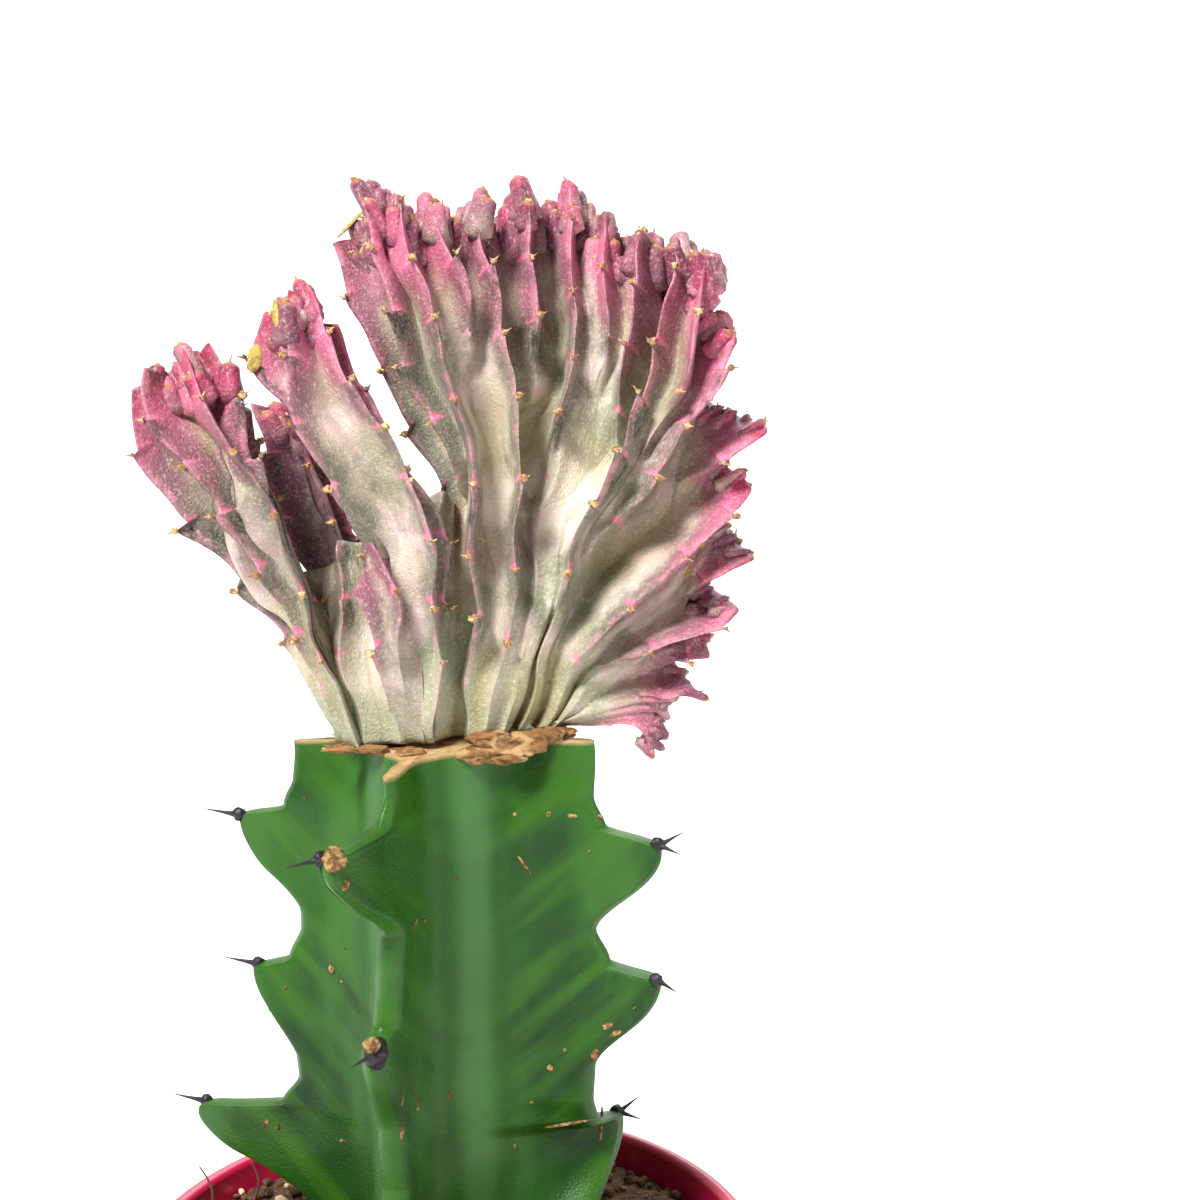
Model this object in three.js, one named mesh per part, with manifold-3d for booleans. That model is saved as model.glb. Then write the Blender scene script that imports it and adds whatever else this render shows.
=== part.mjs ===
// A coral cactus in its nursery pot: a crested, fan-like scion grafted on a
// four-winged green rootstock, set in soil in a round tapered plastic pot.
// Millimetres, +Z up, origin at the centre of the pot's underside.
import * as THREE from "three";
import { mergeVertices } from "three/addons/utils/BufferGeometryUtils.js";
import Module from "manifold-3d";

const wasm = await Module();
wasm.setup();

// Driving dimensions.
const POT_HEIGHT = 105;
const POT_RIM_RADIUS = 60;
const POT_BASE_RADIUS = 43;
const POT_WALL = 1.6;
const POT_FLOOR = 3;
const RIM_BEAD = 1.6;
const DRAIN_COUNT = 6;
const DRAIN_RADIUS = 4;
const DRAIN_CIRCLE = 27;
const SOIL_BELOW_RIM = 5;
const GAP = 0.3;
const SOIL_CLEARANCE = 0.9;
const STEM_FOOT = 62;
const STEM_TOP = 203;
const STEM_RING_STEP = 4;
const CUT_TILT = 0.06;
const CALLUS_THICKNESS = 1.7;
const SHEET_WALL = 5;

// ---------------------------------------------------------------- solids

// A closed geometry as a manifold-3d solid, turned so that its faces point out.
function solid(geometry) {
  const bare = geometry.clone();
  bare.deleteAttribute("normal");
  bare.deleteAttribute("uv");
  const merged = mergeVertices(bare, 1e-4);
  const corners = new Uint32Array(merged.index.array);
  const build = () =>
    new wasm.Manifold(
      new wasm.Mesh({ numProp: 3, vertProperties: merged.attributes.position.array, triVerts: corners }),
    );
  const made = build();
  if (made.volume() > 0) return made;
  for (let i = 0; i < corners.length; i += 3) {
    [corners[i], corners[i + 1]] = [corners[i + 1], corners[i]];
  }
  return build();
}

function mesh(name, shape, material) {
  const { vertProperties, triVerts } = shape.getMesh();
  const geometry = new THREE.BufferGeometry()
    .setAttribute("position", new THREE.BufferAttribute(vertProperties, 3))
    .setIndex(new THREE.BufferAttribute(triVerts, 1));
  geometry.computeVertexNormals();
  const made = new THREE.Mesh(geometry, material);
  made.name = name;
  return made;
}

function material(color, roughness) {
  return new THREE.MeshStandardMaterial({ color, roughness, metalness: 0 });
}

function lathe(profile, segments) {
  const points = profile.map(([r, z]) => new THREE.Vector2(r, z));
  return new THREE.LatheGeometry(points, segments).rotateX(Math.PI / 2);
}

// A closed skin over rings of equal length, with a flat fan on each end ring.
function skin(rings) {
  const count = rings[0].length;
  const positions = rings.flat(2);
  const faces = [];
  const at = (ring, k) => ring * count + (k % count);
  for (let ring = 0; ring < rings.length - 1; ring += 1) {
    for (let k = 0; k < count; k += 1) {
      faces.push(at(ring, k), at(ring, k + 1), at(ring + 1, k + 1));
      faces.push(at(ring, k), at(ring + 1, k + 1), at(ring + 1, k));
    }
  }
  [0, rings.length - 1].forEach((ring, end) => {
    const middle = positions.length / 3;
    for (let axis = 0; axis < 3; axis += 1) {
      positions.push(rings[ring].reduce((sum, p) => sum + p[axis], 0) / count);
    }
    for (let k = 0; k < count; k += 1) {
      const edge = [at(ring, k), at(ring, k + 1)];
      faces.push(middle, edge[end ? 0 : 1], edge[end ? 1 : 0]);
    }
  });
  return new THREE.BufferGeometry()
    .setAttribute("position", new THREE.Float32BufferAttribute(positions, 3))
    .setIndex(faces);
}

// ------------------------------------------------------------------- pot

// Radius of the pot's inner wall at a height.
function innerRadius(z) {
  const slope = (POT_RIM_RADIUS - RIM_BEAD - POT_BASE_RADIUS) / POT_HEIGHT;
  return POT_BASE_RADIUS - POT_WALL + slope * z;
}

function makePot() {
  const bead = [];
  for (let step = 0; step <= 6; step += 1) {
    const turn = (step / 6) * Math.PI;
    bead.push([
      POT_RIM_RADIUS - RIM_BEAD + RIM_BEAD * Math.cos(turn),
      POT_HEIGHT - RIM_BEAD + RIM_BEAD * Math.sin(turn),
    ]);
  }
  const profile = [
    [0, 0],
    [POT_BASE_RADIUS - 1, 0],
    [POT_BASE_RADIUS, 1],
    [POT_RIM_RADIUS - RIM_BEAD - 0.4, POT_HEIGHT - 2.4 * RIM_BEAD],
    ...bead,
    [innerRadius(POT_FLOOR), POT_FLOOR],
    [0, POT_FLOOR],
  ];
  let pot = solid(lathe(profile, 48));
  for (let hole = 0; hole < DRAIN_COUNT; hole += 1) {
    const turn = (hole / DRAIN_COUNT) * 2 * Math.PI;
    const drill = new THREE.CylinderGeometry(DRAIN_RADIUS, DRAIN_RADIUS, 3 * POT_FLOOR, 12)
      .rotateX(Math.PI / 2)
      .translate(DRAIN_CIRCLE * Math.cos(turn), DRAIN_CIRCLE * Math.sin(turn), 0);
    pot = pot.subtract(solid(drill));
  }
  return pot;
}

// ------------------------------------------------------------- rootstock

// The four wings, as the direction each grows in (degrees from +X) and its
// teeth from the top down: height, reach from the axis, and how far the tooth
// leans round the stem.
const WINGS = [
  { name: "left", turn: 160, margin: 29, teeth: [[187, 41, 0], [158, 38, 0], [129, 50, 0]] },
  { name: "front", turn: 250, margin: 28, teeth: [[193, 42, -8], [158, 33, 0], [123, 38, 0]] },
  { name: "right", turn: 340, margin: 29, teeth: [[187, 41, 0], [162, 41, 0], [131, 33, 20]] },
  { name: "back", turn: 70, margin: 28, teeth: [[176, 40, 0], [150, 40, 0], [124, 40, 0]] },
];
const TOOTH_SHOULDER = 2;
const TOOTH_ABOVE = 8;
const TOOTH_BELOW = 17.5;
const VALLEY_RADIUS = 13;
const BLADE_HALF = 5.2;
const MARGIN_HALF = 3.4;
const EDGE_HALF = 1.5;
const FOOT_RADIUS = 16;
const FOOT_VALLEY = 9;
const SOIL_TOP = POT_HEIGHT - SOIL_BELOW_RIM;

// How much of a tooth stands out at a height: it drops at once above its tip,
// with a low tail, and has a long rounded slope below it.
function toothShare(z, tip) {
  const shoulder = THREE.MathUtils.smoothstep(z - tip, 0, TOOTH_SHOULDER);
  const tail = THREE.MathUtils.smoothstep(z - tip, TOOTH_SHOULDER, TOOTH_ABOVE);
  const below = THREE.MathUtils.clamp((tip - z) / TOOTH_BELOW, 0, 1);
  return (1 - 0.8 * shoulder - 0.2 * tail) * (1 - below ** 2) ** 1.7;
}

function wingEdge(wing, z) {
  const buried = THREE.MathUtils.smoothstep(z, STEM_FOOT, SOIL_TOP - 2);
  let reach = THREE.MathUtils.lerp(FOOT_RADIUS, wing.margin, buried);
  let lean = 0;
  wing.teeth.forEach(([tip, toothReach, toothLean]) => {
    const share = toothShare(z, tip);
    reach += share * (toothReach - wing.margin);
    lean += share * toothLean;
  });
  return { reach, lean, valley: THREE.MathUtils.lerp(FOOT_VALLEY, VALLEY_RADIUS, buried) };
}

// The graft cut rises a little towards +X.
const tilted = new THREE.Matrix4().set(1, 0, 0, 0, 0, 1, 0, 0, CUT_TILT, 0, 1, 0, 0, 0, 0, 1);

// One level of the stem: each wing is a tapering blade with a rounded edge.
function stemRing(z, extra) {
  const ring = [];
  WINGS.forEach((wing) => {
    const { reach, lean, valley } = wingEdge(wing, z);
    const along = THREE.MathUtils.degToRad(wing.turn);
    const leaning = THREE.MathUtils.degToRad(lean);
    const edge = reach + extra;
    const root = valley * Math.SQRT1_2;
    const buried = THREE.MathUtils.smoothstep(z, STEM_FOOT, SOIL_TOP - 2);
    const margin = THREE.MathUtils.lerp(FOOT_RADIUS, wing.margin, buried);
    const blade = [
      [root, -root - extra],
      [root + (margin - root) * 0.3, -BLADE_HALF - extra],
      [root + (margin - root) * 0.62, -MARGIN_HALF - extra],
      [edge - 1.4, -EDGE_HALF - extra],
      [edge, 0],
      [edge - 1.4, EDGE_HALF + extra],
      [root + (margin - root) * 0.62, MARGIN_HALF + extra],
      [root + (margin - root) * 0.3, BLADE_HALF + extra],
    ];
    blade.forEach(([out, side]) => {
      const bend = along + (leaning * out) / edge;
      const x = out * Math.cos(bend) - side * Math.sin(bend);
      const y = out * Math.sin(bend) + side * Math.cos(bend);
      ring.push([x, y, z + CUT_TILT * x * THREE.MathUtils.smoothstep(z, STEM_TOP - 13, STEM_TOP)]);
    });
  });
  return ring;
}

// The levels of the stem: even steps, and two at each tooth's sharp top.
function stemHeights() {
  const heights = [STEM_FOOT, STEM_TOP];
  WINGS.forEach((wing) => wing.teeth.forEach(([tip]) => heights.push(tip, tip + TOOTH_SHOULDER)));
  for (let z = STEM_FOOT + STEM_RING_STEP; z < STEM_TOP - 1; z += STEM_RING_STEP) {
    if (heights.every((other) => Math.abs(other - z) > STEM_RING_STEP / 3)) heights.push(z);
  }
  return [...new Set(heights)].sort((a, b) => a - b);
}

function makeStem(extra) {
  const heights = stemHeights();
  heights[0] -= extra;
  heights[heights.length - 1] += extra;
  return solid(skin(heights.map((z) => stemRing(z, extra))));
}

// The black spine on a tooth: a small dark cushion with one or two thorns.
function makeSpine(wing, [height, reach, lean], thorns) {
  const turn = THREE.MathUtils.degToRad(wing.turn + lean);
  let spine = solid(new THREE.SphereGeometry(1.5, 10, 6).scale(1, 1, 1.2).translate(1.9, 0, 0));
  thorns.forEach(([length, side, rise]) => {
    const aim = new THREE.Vector3(Math.cos(side) * Math.cos(rise), Math.sin(side) * Math.cos(rise), Math.sin(rise));
    const thorn = new THREE.ConeGeometry(0.8, length, 8)
      .translate(0, length / 2, 0)
      .applyQuaternion(new THREE.Quaternion().setFromUnitVectors(new THREE.Vector3(0, 1, 0), aim))
      .translate(2.1, 0, 0);
    spine = spine.add(solid(thorn));
  });
  const place = new THREE.Matrix4().makeRotationZ(turn).setPosition(
    reach * Math.cos(turn),
    reach * Math.sin(turn),
    height,
  );
  return spine.transform(place.elements);
}

// ------------------------------------------------------------------ soil

function makeSoil(stemRoom) {
  const top = SOIL_TOP;
  const profile = [
    [0, POT_FLOOR + GAP],
    [innerRadius(POT_FLOOR) - 1, POT_FLOOR + GAP],
    [innerRadius(top) - 1, top - 1.5],
    [innerRadius(top) - 8, top - 0.2],
    [34, top + 0.8],
    [0, top + 1],
  ];
  return solid(lathe(profile, 48)).subtract(stemRoom);
}

// ----------------------------------------------------------------- crest

// The ribs of each lobe from one side to the other, each from its foot at the
// graft to its tip at the growing edge. The crest is folded between them.
const LOBES = {
  left: [
    [[-18, -2, 207], [-31, -3, 226], [-46, -4, 244], [-52, -5, 255], [-52, -5, 267]],
    [[-17, -6, 209], [-27, -10, 232], [-38, -12, 248], [-46, -12, 260], [-48, -9, 270]],
    [[-15, -8, 209], [-22, -11, 230], [-28, -14, 248], [-35, -14, 260], [-42, -10, 273]],
    [[-13, -6, 209], [-18, -8, 223], [-25, -10, 241], [-30, -10, 255], [-38, -6, 273]],
    [[-12, -2, 208], [-16, -1, 220], [-24, 0, 236], [-29, 1, 249], [-34, 1, 267]],
  ],
  behind: [
    [[-12, 6, 207], [-23, 8, 228], [-29, 8, 246], [-33, 7, 264]],
    [[-9, 3, 207], [-16, 3, 229], [-20, 3, 247], [-25, 4, 263]],
    [[-7, 6, 207], [-12, 7, 224], [-16, 7, 242], [-20, 6, 259]],
  ],
  middle: [
    [[-3, -4, 209], [-14, -6, 237], [-23, -8, 256], [-32, -8, 270], [-29, -7, 280]],
    [[-2, -9, 210], [-10, -14, 236], [-18, -17, 253], [-24, -17, 267], [-24, -12, 282]],
    [[0, -9, 210], [0, -16, 236], [-5, -18, 252], [-14, -18, 268], [-20, -11, 283]],
    [[2, -5, 209], [3, -10, 230], [0, -11, 247], [-9, -10, 263], [-16, -9, 278]],
  ],
  fin: [
    [[-5, -11, 211], [-8, -15, 222], [-11, -16, 230], [-13, -15, 238]],
    [[-2, -12, 211], [-3, -17, 223], [-6, -18, 232], [-11, -16, 239]],
  ],
  fan: [
    [[2, 2, 207], [1, 4, 228], [-2, 4, 250], [-12, 4, 270], [-19, 3, 292]],
    [[3, -4, 209], [3, -7, 235], [0, -9, 258], [-7, -10, 280], [-13, -6, 299]],
    [[5, -7, 209], [6, -11, 236], [5, -12, 258], [0, -12, 278], [-6, -4, 298]],
    [[6, -8, 209], [10, -11, 236], [11, -10, 258], [6, -7, 280], [1, -2, 298]],
    [[8, -8, 209], [13, -11, 236], [14, -9, 261], [11, -3, 283], [9, 2, 299]],
    [[9, -8, 209], [14, -11, 234], [17, -8, 254], [18, -1, 278], [16, 6, 302]],
    [[11, -8, 209], [16, -11, 234], [20, -8, 254], [24, -2, 278], [23, 7, 302]],
    [[12, -8, 209], [17, -11, 232], [23, -9, 253], [30, -3, 277], [30, 5, 298]],
    [[13, -8, 209], [18, -12, 230], [27, -12, 253], [34, -7, 273], [37, 1, 295]],
    [[14, -8, 209], [20, -13, 230], [30, -15, 252], [38, -13, 271], [42, -5, 292]],
    [[15, -8, 209], [21, -13, 228], [33, -16, 250], [43, -17, 271], [45, -12, 288]],
    [[16, -8, 209], [22, -13, 226], [36, -15, 249], [47, -17, 266], [52, -13, 275]],
    [[17, -8, 209], [24, -13, 223], [39, -15, 245], [50, -15, 255], [57, -11, 260]],
    [[18, -8, 208], [25, -13, 221], [41, -15, 237], [50, -14, 246], [54, -10, 250]],
    [[19, -8, 208], [26, -13, 219], [42, -15, 230], [50, -14, 236], [55, -10, 238]],
    [[19, -8, 208], [27, -13, 217], [41, -15, 224], [49, -14, 227], [53, -10, 229]],
    [[20, -8, 207], [28, -12, 214], [38, -14, 218], [45, -13, 220], [49, -10, 220]],
    [[21, -7, 206], [28, -11, 211], [37, -12, 212], [42, -12, 213], [45, -9, 213]],
    [[21, -5, 205], [28, -7, 207], [34, -8, 207], [37, -8, 205], [39, -7, 202]],
  ],
};
const RIB_STEPS = 7;
const FOLD = 0.85;
const VALLEY_SHARE = 0.96;

// A lobe is one thick sheet pleated between its ribs: the ribs stand forward,
// and between each two of them the sheet goes back in a valley.
function makeLobe(ribs) {
  const curves = ribs.map((rib) => new THREE.CatmullRomCurve3(rib.map((p) => new THREE.Vector3(...p))));
  const rings = [];
  for (let step = 0; step <= RIB_STEPS; step += 1) {
    const front = [];
    const back = [];
    curves.forEach((curve, index) => {
      const ridge = curve.getPoint(step / RIB_STEPS);
      front.push([ridge.x, ridge.y, ridge.z]);
      back.push([ridge.x, ridge.y + SHEET_WALL, ridge.z]);
      if (index === curves.length - 1) return;
      const here = curve.getPoint((VALLEY_SHARE * step) / RIB_STEPS);
      const next = curves[index + 1].getPoint((VALLEY_SHARE * step) / RIB_STEPS);
      const valley = here.clone().add(next).multiplyScalar(0.5);
      const depth = FOLD * here.distanceTo(next);
      front.push([valley.x, valley.y + depth, valley.z]);
      back.push([valley.x, valley.y + depth + SHEET_WALL, valley.z]);
    });
    rings.push([...front, ...back.reverse()]);
  }
  return solid(skin(rings));
}

function makeCrest() {
  const graft = STEM_TOP + CALLUS_THICKNESS + 2 * GAP;
  const neckProfile = [[0, graft - 2], [19, graft - 2], [17, graft + 8], [12, graft + 18], [0, graft + 22]];
  let crest = solid(lathe(neckProfile, 24).scale(1, 0.5, 1).translate(2, 1, 0));
  Object.values(LOBES).forEach((ribs) => {
    crest = crest.add(makeLobe(ribs));
  });
  const bed = new THREE.BoxGeometry(62, 70, 20).translate(-1.5, 0, graft - 10);
  return crest.subtract(solid(bed.applyMatrix4(tilted)));
}

// ---------------------------------------------------------------- callus

function makeCallus() {
  const outline = new THREE.Shape();
  const points = [];
  for (let step = 0; step < 28; step += 1) {
    const turn = (step / 28) * 2 * Math.PI;
    const wobble = 1 + 0.05 * Math.sin(3 * turn) + 0.04 * Math.sin(7 * turn + 1);
    points.push(new THREE.Vector2(1 + 24 * wobble * Math.cos(turn), 1 + 14 * wobble * Math.sin(turn)));
  }
  outline.setFromPoints(points);
  const disc = new THREE.ExtrudeGeometry(outline, { depth: CALLUS_THICKNESS, bevelEnabled: false });
  return solid(disc.translate(0, 0, STEM_TOP + GAP).applyMatrix4(tilted));
}

// ------------------------------------------------------------- rootlets

// Dry curled rootlets that stand out of the soil near the pot's wall.
const ROOTLETS = [
  [[-46, 18, 101.6], [-47, 19, 106], [-46, 19, 110], [-48, 20, 114]],
  [[-51, 9, 101.2], [-52, 9, 104], [-54, 8, 107]],
  [[-40, 30, 101.6], [-38, 31, 105], [-40, 33, 108]],
];

function makeRootlet(points) {
  const route = new THREE.CatmullRomCurve3(points.map((p) => new THREE.Vector3(...p)));
  const section = new THREE.Shape();
  section.absarc(0, 0, 0.35, 0, 2 * Math.PI);
  return solid(new THREE.ExtrudeGeometry(section, { steps: 8, extrudePath: route, curveSegments: 3 }));
}

// -------------------------------------------------------------- assembly

const pink = material(0xc2184f, 0.35);
const earth = material(0x4f3a2a, 0.95);
const green = material(0x2c7a2a, 0.4);
const cork = material(0xa07c50, 0.9);
const coral = material(0xc9a3a6, 0.55);
const thorn = material(0x2b2426, 0.6);

const STRAIGHT = [[7.5, 0, 0.1]];
const FORKED = [[5, 0.35, 0.5], [5, -0.5, -0.15]];
const SIDEWAYS = [[5.5, -0.7, -0.1]];
const THORNS = {
  left: [STRAIGHT, STRAIGHT, STRAIGHT],
  front: [SIDEWAYS, FORKED, STRAIGHT],
  right: [FORKED, SIDEWAYS, FORKED],
  back: [STRAIGHT, FORKED, STRAIGHT],
};

const plant = new THREE.Group();
plant.add(mesh("pot", makePot(), pink));
plant.add(mesh("soil", makeSoil(makeStem(SOIL_CLEARANCE)), earth));
plant.add(mesh("rootstock", makeStem(0), green));
plant.add(mesh("graft_callus", makeCallus(), cork));
plant.add(mesh("crest", makeCrest(), coral));
WINGS.forEach((wing) => {
  wing.teeth.forEach((tooth, index) => {
    const shape = makeSpine(wing, tooth, THORNS[wing.name][index]);
    plant.add(mesh(`spine_${wing.name}_${index + 1}`, shape, thorn));
  });
});
ROOTLETS.forEach((points, index) => {
  plant.add(mesh(`dry_rootlet_${index + 1}`, makeRootlet(points), cork));
});

export default plant;
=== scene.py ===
import math
import random

import bmesh
import bpy
import numpy as np
from mathutils import Matrix, Vector, noise
from mathutils.bvhtree import BVHTree


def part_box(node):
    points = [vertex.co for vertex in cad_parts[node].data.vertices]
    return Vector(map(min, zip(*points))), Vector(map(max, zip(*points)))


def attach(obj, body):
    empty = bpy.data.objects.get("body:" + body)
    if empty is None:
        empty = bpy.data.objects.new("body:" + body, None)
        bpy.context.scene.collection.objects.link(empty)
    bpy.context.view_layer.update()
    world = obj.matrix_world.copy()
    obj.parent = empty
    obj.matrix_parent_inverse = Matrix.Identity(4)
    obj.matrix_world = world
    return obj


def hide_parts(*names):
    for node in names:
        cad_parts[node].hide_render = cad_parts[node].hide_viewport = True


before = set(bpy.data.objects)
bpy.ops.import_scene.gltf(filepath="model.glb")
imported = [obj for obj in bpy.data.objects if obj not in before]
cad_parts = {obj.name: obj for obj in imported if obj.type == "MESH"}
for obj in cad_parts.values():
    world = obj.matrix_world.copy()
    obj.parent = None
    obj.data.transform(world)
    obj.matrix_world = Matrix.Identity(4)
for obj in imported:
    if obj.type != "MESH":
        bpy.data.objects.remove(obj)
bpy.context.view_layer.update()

MM = 0.001

# ---------------------------------------------------------------- studio
# A pale sweep of paper under and behind the pot, a camera close in front of
# the plant and a little above its pot, and large soft lamps.
pot_low, pot_high = (Vector(corner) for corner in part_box("pot"))
rim_height = pot_high.z

camera_data = bpy.data.cameras.new("studio_camera")
camera_data.lens = 50
camera_data.sensor_width = 36
camera = bpy.data.objects.new("studio_camera", camera_data)
camera.location = (0, -0.297, rim_height + 0.166)
camera.rotation_euler = (math.radians(90 - 8.1), 0, math.radians(-5.6))
bpy.context.collection.objects.link(camera)
bpy.context.scene.camera = camera
bpy.context.scene.view_settings.view_transform = "Standard"


def put(tree, kind, inputs=None, **settings):
    """Adds a shader node; an input given as a socket is linked, and any other value is set."""
    node = tree.nodes.new("ShaderNode" + kind)
    for key, value in settings.items():
        setattr(node, key, value)
    for key, value in (inputs or {}).items():
        if isinstance(value, bpy.types.NodeSocket):
            tree.links.new(value, node.inputs[key])
        else:
            node.inputs[key].default_value = value
    return node


def tint(red, green, blue):
    """A colour as it looks on a screen, 0 to 255, as a shader colour."""
    linear = [((c / 255 + 0.055) / 1.055) ** 2.4 if c > 10 else c / 3295 for c in (red, green, blue)]
    return (*linear, 1)


def tree_of(*values):
    """The shader tree of the first socket among some values."""
    return next(value.id_data for value in values if isinstance(value, bpy.types.NodeSocket))


def blend(share, under, over):
    """Mixes two colours and gives the mixed colour's socket."""
    tree = tree_of(share, under, over)
    return put(tree, "Mix", {0: share, 6: under, 7: over}, data_type="RGBA").outputs[2]


def arithmetic(operation):
    """A function that takes sockets or numbers and gives one Math node's result."""
    def result(*terms, clamp=False):
        node = put(tree_of(*terms), "Math", dict(enumerate(terms)), operation=operation, use_clamp=clamp)
        return node.outputs[0]
    return result


times = arithmetic("MULTIPLY")
plus = arithmetic("ADD")
minus = arithmetic("SUBTRACT")


def ramp(value, low, high):
    """A value brought to 0 at low and 1 at high, with soft ends."""
    levels = {0: value, 1: low, 2: high}
    return put(value.id_data, "MapRange", levels, interpolation_type="SMOOTHSTEP").outputs[0]


def noise_at(vector, scale, **inputs):
    """A noise texture's value; Detail, Roughness and Distortion keep their usual values if not given."""
    return put(tree_of(vector), "TexNoise", {"Vector": vector, "Scale": scale, **inputs}).outputs["Fac"]


def new_material(name, **constants):
    """A material with one Principled shader and its constant sockets, and its object coordinates."""
    material = bpy.data.materials.new(name)
    material.use_nodes = True
    shader = material.node_tree.nodes["Principled BSDF"]
    for key, value in constants.items():
        shader.inputs[key.replace("_", " ")].default_value = value
    tree = material.node_tree
    return material, tree, shader, put(tree, "TexCoord").outputs["Object"]


def finish(shader, colour, roughness, height=None, distance=0.0, strength=0.0):
    """Links a material's varying colour, roughness and fine relief to its shader."""
    tree = shader.id_data
    tree.links.new(colour, shader.inputs["Base Color"])
    tree.links.new(roughness, shader.inputs["Roughness"])
    if height is not None:
        dent = put(tree, "Bump", {"Height": height, "Distance": distance, "Strength": strength})
        tree.links.new(dent.outputs[0], shader.inputs["Normal"])


paper, tree, shader, where = new_material("pale_paper", Roughness=0.9)
fibre = noise_at(where, 400.0)
tree.links.new(blend(fibre, tint(246, 246, 246), tint(252, 252, 252)), shader.inputs["Base Color"])
shader.inputs["Emission Color"].default_value = (1, 1, 1, 1)
shader.inputs["Emission Strength"].default_value = 0.5

sweep_half_width = 3.0
sweep_flat_end = 0.9
sweep_bend = 0.8           # radius of the paper's bend from floor to wall
sweep_profile = [(-3.0, 0.0), (sweep_flat_end, 0.0)]
for step in range(1, 13):
    turn = step / 12 * math.pi / 2
    rise = sweep_bend - sweep_bend * math.cos(turn)
    sweep_profile.append((sweep_flat_end + sweep_bend * math.sin(turn), rise))
sweep_profile.append((sweep_flat_end + sweep_bend, 4.0))
sweep_mesh = bpy.data.meshes.new("paper_sweep")
sweep_mesh.from_pydata(
    [(side, y, z) for y, z in sweep_profile for side in (-sweep_half_width, sweep_half_width)],
    [],
    [(2 * k, 2 * k + 1, 2 * k + 3, 2 * k + 2) for k in range(len(sweep_profile) - 1)],
)
sweep = bpy.data.objects.new("paper_sweep", sweep_mesh)
sweep_mesh.materials.append(paper)
sweep_mesh.polygons.foreach_set("use_smooth", [True] * len(sweep_mesh.polygons))
bpy.context.collection.objects.link(sweep)

world = bpy.data.worlds.new("studio_air")
world.use_nodes = True
world.node_tree.nodes["Background"].inputs["Color"].default_value = (1, 1, 1, 1)
world.node_tree.nodes["Background"].inputs["Strength"].default_value = 0.15
bpy.context.scene.world = world


def soft_lamp(name, place, aim, width, power):
    """A square area lamp at a place, turned to a point."""
    lamp = bpy.data.lights.new(name, "AREA")
    lamp.size = width
    lamp.energy = power
    holder = bpy.data.objects.new(name, lamp)
    holder.location = place
    holder.rotation_euler = (Vector(aim) - Vector(place)).to_track_quat("-Z", "Y").to_euler()
    bpy.context.collection.objects.link(holder)


stem_middle = (0, 0, 0.2)
soft_lamp("key_lamp", (-0.5, -0.6, 1.1), stem_middle, 0.3, 34)
soft_lamp("fill_lamp", (0.9, -0.5, 0.5), stem_middle, 0.6, 5)
soft_lamp("back_lamp", (0.3, 0.8, 1.0), stem_middle, 0.8, 8)


def add_piece(name, vertices, faces, material, slot, replaced=(), smooth=True, marks=None):
    """A mesh piece from points in millimetres, which rides on the plant's one body."""
    mesh = bpy.data.meshes.new(name)
    mesh.from_pydata((np.asarray(vertices, float) * MM).tolist(), [], [tuple(map(int, f)) for f in faces])
    mesh.polygons.foreach_set("use_smooth", [smooth] * len(mesh.polygons))
    for mark, values in (marks or {}).items():
        values = np.asarray(values, np.float32)
        kind = "FLOAT_VECTOR" if values.ndim == 2 else "FLOAT"
        layer = mesh.attributes.new(mark, kind, "POINT")
        layer.data.foreach_set("vector" if values.ndim == 2 else "value", values.ravel())
    mesh.materials.append(material)
    mesh.update()
    piece = bpy.data.objects.new(name, mesh)
    bpy.context.collection.objects.link(piece)
    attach(piece, "root")
    if replaced:
        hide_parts(*replaced)
    return piece


def attribute(tree, name, output="Fac"):
    return put(tree, "Attribute", attribute_name=name).outputs[output]


# ------------------------------------------------------------------- pot
# A thin tapered nursery pot, injection moulded in one piece in glossy pink
# plastic, with a rolled rim and drain holes round the solid middle of its floor.
rim_radius = pot_high.x / MM
pot_height = rim_height / MM
pot_base_radius = 43.0
pot_wall = 1.6
pot_floor = 3.0
bead = 1.6                 # radius of the rolled rim
drain_holes = 6
drain_ring = 27.0
drain_radius = 4.0


def inner_radius(z):
    """Radius of the pot's inner wall at a height."""
    return pot_base_radius - pot_wall + (rim_radius - bead - pot_base_radius) / pot_height * z


def turned(profile, segments):
    """Vertices and faces of a closed profile turned round Z; a point on the axis is shared."""
    vertices = []
    rows = []
    for radius, z in profile:
        if radius == 0:
            rows.append([len(vertices)] * segments)
            vertices.append((0, 0, z))
            continue
        rows.append(list(range(len(vertices), len(vertices) + segments)))
        for k in range(segments):
            turn = 2 * math.pi * k / segments
            vertices.append((radius * math.cos(turn), radius * math.sin(turn), z))
    faces = []
    for low, high in zip(rows, rows[1:]):
        for k in range(segments):
            after = (k + 1) % segments
            corners = [low[k], low[after], high[after], high[k]]
            faces.append(list(dict.fromkeys(corners)))
    return vertices, faces


pot_pink, tree, shader, where = new_material("pink_plastic", Coat_Weight=0.25, Coat_Roughness=0.12, IOR=1.5)
cloud = noise_at(where, 35.0, Detail=4.0)
scuff = noise_at(where, 900.0, Detail=3.0)
dust = ramp(noise_at(where, 160.0, Detail=8.0), 0.62, 0.8)
pink = blend(cloud, tint(168, 6, 52), tint(190, 16, 68))
pink = blend(times(dust, 0.35), pink, tint(170, 110, 96))
gloss = plus(times(dust, 0.3), times(cloud, 0.2))
finish(shader, pink, plus(gloss, 0.2), scuff, distance=0.0001, strength=0.12)

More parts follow.
